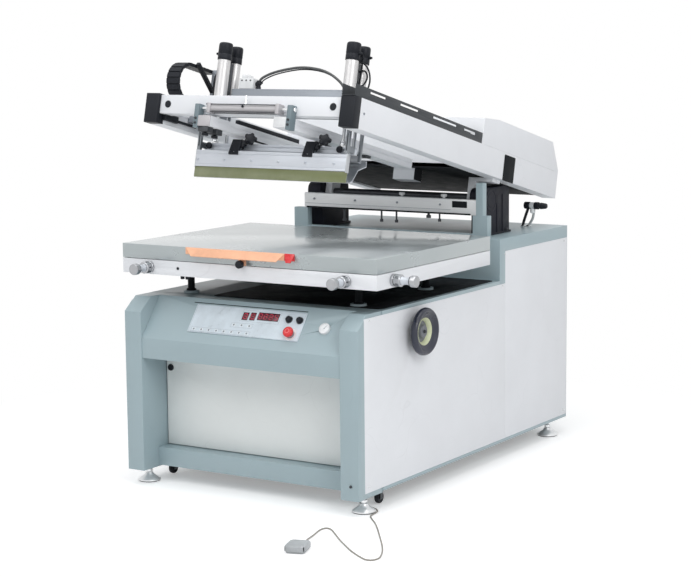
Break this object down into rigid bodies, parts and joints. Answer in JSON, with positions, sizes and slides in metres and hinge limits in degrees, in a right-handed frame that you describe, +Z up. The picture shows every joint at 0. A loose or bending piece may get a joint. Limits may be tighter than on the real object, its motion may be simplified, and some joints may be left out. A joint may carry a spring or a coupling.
{
  "type": "flatbed screen printing press",
  "caption": "Floor-standing flatbed screen press: cabinet, lifting bed with registration knobs, tilting two-arm head, sliding squeegee carriage, pedal.",
  "frame": {"origin": "centre of the flat bed's top face", "axes": "+X to the operator's right, +Y away from the operator (front to back), +Z up"},
  "size_m": [1.3094, 2.0555, 1.5508],
  "materials": {
    "grey_paint": "semi-gloss grey-green enamel",
    "white_paint": "semi-gloss white enamel",
    "cream_paint": "satin cream enamel",
    "bed_steel": "ground and lacquered bed plate",
    "aluminium": "satin",
    "bright_steel": "bright plated steel",
    "black_plastic": "satin black",
    "black_casting": "black painted casting",
    "grey_steel": "brushed",
    "plate_print": "printed membrane, bare here",
    "red_plastic": "gloss",
    "peach_plastic": "satin",
    "blade_rubber": "olive polyurethane",
    "pedal_plastic": "satin grey",
    "dial_white": "white dial under a flat lens"
  },
  "bodies": {
    "cabinet": {"cabinet_frame": "grey_paint", "left_front_post": "grey_paint", "right_front_post": "grey_paint", "console_housing": "grey_paint", "control_plate": "plate_print", "low_deck": "grey_paint", "rear_cover": "grey_paint", "left_side_panel": "white_paint", "right_side_panel": "white_paint", "pressure_gauge": "dial_white", "rear_bridge": "grey_paint", "rear_rail": "aluminium", "left_pivot_block": "black_casting", "right_pivot_block": "black_casting", "air_regulator": "black_plastic", "pedal_base": "pedal_plastic", "pedal_cord": "pedal_plastic"},
    "kick_door": {"kick_door": "cream_paint"},
    "door_lock": {"door_lock": "black_plastic"},
    "left_front_foot": {"left_front_foot": "bright_steel"},
    "right_front_foot": {"right_front_foot": "bright_steel"},
    "left_rear_foot": {"left_rear_foot": "bright_steel"},
    "right_rear_foot": {"right_rear_foot": "bright_steel"},
    "left_castor": {"left_castor_fork": "grey_steel"},
    "right_castor": {"right_castor_fork": "grey_steel"},
    "left_castor_roller": {"left_castor_wheel": "black_plastic"},
    "right_castor_roller": {"right_castor_wheel": "black_plastic"},
    "handwheel": {"handwheel": "black_plastic"},
    "bed_lift": {"bed_subframe": "white_paint"},
    "slide_plate": {"slide_plate": "aluminium"},
    "bed_slab": {"bed_slab": "bed_steel", "lay_strip": "peach_plastic"},
    "lay_knob": {"lay_knob": "black_plastic"},
    "left_front_knob": {"left_front_knob": "bright_steel"},
    "right_front_knob": {"right_front_knob": "bright_steel"},
    "side_knob": {"side_knob": "bright_steel"},
    "head": {"left_arm": "white_paint", "right_arm": "white_paint", "pivot_shaft": "bright_steel", "front_beam": "white_paint", "rear_hood": "white_paint", "drive_motor": "black_casting", "cable_tray": "black_plastic", "clamp_cylinder": "aluminium"},
    "left_frame_arm": {"left_frame_arm": "white_paint"},
    "right_frame_arm": {"right_frame_arm": "white_paint"},
    "carriage": {"carriage_beam": "grey_steel", "left_squeegee_cylinder": "aluminium", "right_squeegee_cylinder": "aluminium", "left_flood_cylinder": "aluminium", "right_flood_cylinder": "aluminium", "energy_chain": "black_plastic", "air_hose": "black_plastic"},
    "squeegee": {"squeegee_bar": "aluminium", "squeegee_blade": "blade_rubber"},
    "flood": {"flood_bar": "aluminium"},
    "emergency_stop": {"emergency_stop": "red_plastic"},
    "start_button": {"start_button": "black_plastic"},
    "stop_button": {"stop_button": "black_plastic"},
    "pedal_cover": {"pedal_cover": "pedal_plastic"}
  },
  "joints": [
    {"name": "head_tilt", "type": "hinge", "parent": "cabinet", "child": "head", "pos_m": [0, 0.657, 0.108], "axis": [1, 0, 0], "range_deg": [0, 13.3]},
    {"name": "carriage_slide", "type": "slide", "parent": "head", "child": "carriage", "axis": [0, 0.9732, -0.23], "range_m": [0, 0.5]},
    {"name": "squeegee_lift", "type": "slide", "parent": "carriage", "child": "squeegee", "axis": [0, 0.23, 0.9732], "range_m": [-0.015, 0]},
    {"name": "flood_lift", "type": "slide", "parent": "carriage", "child": "flood", "axis": [0, 0.23, 0.9732], "range_m": [-0.015, 0]},
    {"name": "left_arm_slide", "type": "slide", "parent": "head", "child": "left_frame_arm", "axis": [-1, 0, 0], "range_m": [0, 0.02]},
    {"name": "right_arm_slide", "type": "slide", "parent": "head", "child": "right_frame_arm", "axis": [1, 0, 0], "range_m": [0, 0.02]},
    {"name": "bed_height", "type": "slide", "parent": "cabinet", "child": "bed_lift", "axis": [0, 0, 1], "range_m": [-0.02, 0]},
    {"name": "handwheel_turn", "type": "hinge", "parent": "cabinet", "child": "handwheel", "pos_m": [0.48, -0.068, -0.281], "axis": [1, 0, 0], "range_deg": [-720, 0]},
    {"name": "bed_depth_adjust", "type": "slide", "parent": "bed_lift", "child": "slide_plate", "axis": [0, 1, 0], "range_m": [-0.005, 0.005]},
    {"name": "bed_side_adjust", "type": "slide", "parent": "slide_plate", "child": "bed_slab", "axis": [1, 0, 0], "range_m": [-0.005, 0.005]},
    {"name": "left_knob_turn", "type": "hinge", "parent": "bed_lift", "child": "left_front_knob", "pos_m": [-0.405, -0.3913, -0.078], "axis": [0, 1, 0], "range_deg": [-900, 900]},
    {"name": "right_knob_turn", "type": "hinge", "parent": "bed_lift", "child": "right_front_knob", "pos_m": [0.405, -0.3913, -0.078], "axis": [0, 1, 0], "range_deg": [-900, 900]},
    {"name": "side_knob_turn", "type": "hinge", "parent": "bed_lift", "child": "side_knob", "pos_m": [0.5238, -0.291, -0.078], "axis": [1, 0, 0], "range_deg": [-900, 900]},
    {"name": "lay_knob_turn", "type": "hinge", "parent": "bed_slab", "child": "lay_knob", "pos_m": [-0.008, -0.3941, -0.045], "axis": [0, 1, 0], "range_deg": [-360, 360]},
    {"name": "door_swing", "type": "hinge", "parent": "cabinet", "child": "kick_door", "pos_m": [0.4, -0.2983, -0.724], "axis": [0, 0, 1], "range_deg": [0, 90]},
    {"name": "lock_turn", "type": "hinge", "parent": "kick_door", "child": "door_lock", "pos_m": [-0.389, -0.3033, -0.447], "axis": [0, -1, 0], "range_deg": [0, 90]},
    {"name": "emergency_stop_push", "type": "slide", "parent": "cabinet", "child": "emergency_stop", "axis": [0, -0.7931, 0.6092], "range_m": [-0.004, 0], "stiffness_N_per_m": 1200, "springref_m": 0.002},
    {"name": "start_push", "type": "slide", "parent": "cabinet", "child": "start_button", "axis": [0, -0.7931, 0.6092], "range_m": [-0.003, 0], "stiffness_N_per_m": 400, "springref_m": 0.002},
    {"name": "stop_push", "type": "slide", "parent": "cabinet", "child": "stop_button", "axis": [0, -0.7931, 0.6092], "range_m": [-0.003, 0], "stiffness_N_per_m": 400, "springref_m": 0.002},
    {"name": "pedal_press", "type": "hinge", "parent": "cabinet", "child": "pedal_cover", "pos_m": [0.50796, -0.83209, -0.837], "axis": [0.9511, 0.309, 0], "range_deg": [0, 4], "stiffness_Nm_per_rad": 1.5, "springref_deg": -6.88},
    {"name": "left_castor_swivel", "type": "hinge", "parent": "cabinet", "child": "left_castor", "pos_m": [-0.435, -0.256, -0.7923], "axis": [0, 0, 1], "continuous": true},
    {"name": "left_castor_roll", "type": "hinge", "parent": "left_castor", "child": "left_castor_roller", "pos_m": [-0.435, -0.242, -0.829], "axis": [1, 0, 0], "continuous": true},
    {"name": "left_front_foot_screw", "type": "slide", "parent": "cabinet", "child": "left_front_foot", "axis": [0, 0, 1], "range_m": [-0.02, 0]},
    {"name": "left_rear_foot_screw", "type": "slide", "parent": "cabinet", "child": "left_rear_foot", "axis": [0, 0, 1], "range_m": [-0.02, 0]},
    {"name": "right_castor_swivel", "type": "hinge", "parent": "cabinet", "child": "right_castor", "pos_m": [0.435, -0.256, -0.7923], "axis": [0, 0, 1], "continuous": true},
    {"name": "right_castor_roll", "type": "hinge", "parent": "right_castor", "child": "right_castor_roller", "pos_m": [0.435, -0.242, -0.829], "axis": [1, 0, 0], "continuous": true},
    {"name": "right_front_foot_screw", "type": "slide", "parent": "cabinet", "child": "right_front_foot", "axis": [0, 0, 1], "range_m": [-0.02, 0]},
    {"name": "right_rear_foot_screw", "type": "slide", "parent": "cabinet", "child": "right_rear_foot", "axis": [0, 0, 1], "range_m": [-0.02, 0]}
  ],
  "couplings": [
    {"joint": "handwheel_turn", "follows": "bed_height", "rad_per_m": 628.32},
    {"joint": "left_knob_turn", "follows": "bed_depth_adjust", "rad_per_m": 3141.6},
    {"joint": "right_knob_turn", "follows": "bed_depth_adjust", "rad_per_m": 3141.6},
    {"joint": "side_knob_turn", "follows": "bed_side_adjust", "rad_per_m": 3141.6},
    {"joint": "right_arm_slide", "follows": "left_arm_slide", "ratio": 1}
  ]
}
